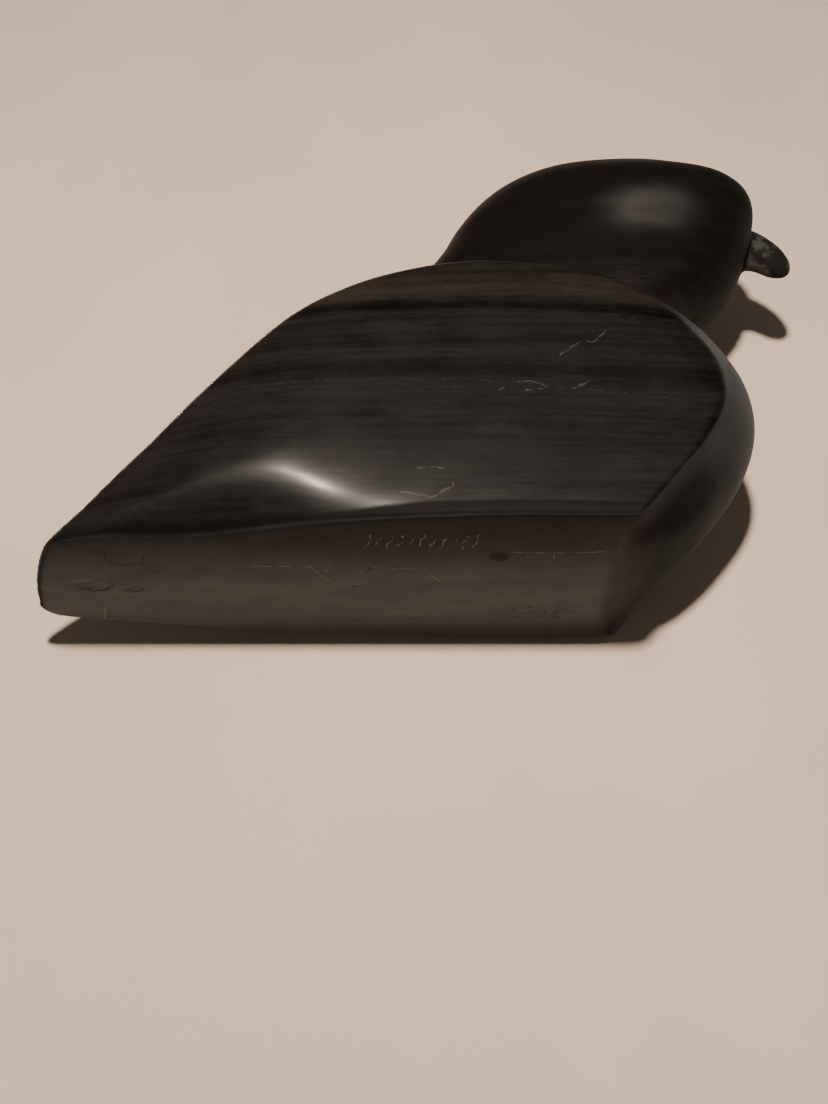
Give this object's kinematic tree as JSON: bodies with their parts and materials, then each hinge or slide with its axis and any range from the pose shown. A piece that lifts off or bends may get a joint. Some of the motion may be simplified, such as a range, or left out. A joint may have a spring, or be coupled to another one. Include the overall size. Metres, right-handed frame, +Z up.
{
  "type": "stone bird figurine",
  "caption": "Resting bird carved from a block of banded black stone, with folded wings, a domed head and a hooked beak, standing on its flat underside.",
  "frame": {"origin": "centre of the part's box, on the flat underside", "axes": "+X from the tail towards the beak, +Y to the bird's left, +Z up"},
  "size_m": [0.21, 0.0732, 0.133],
  "materials": {
    "banded_stone": null
  },
  "bodies": {
    "root": {"stone_bird": "banded_stone"}
  },
  "joints": []
}
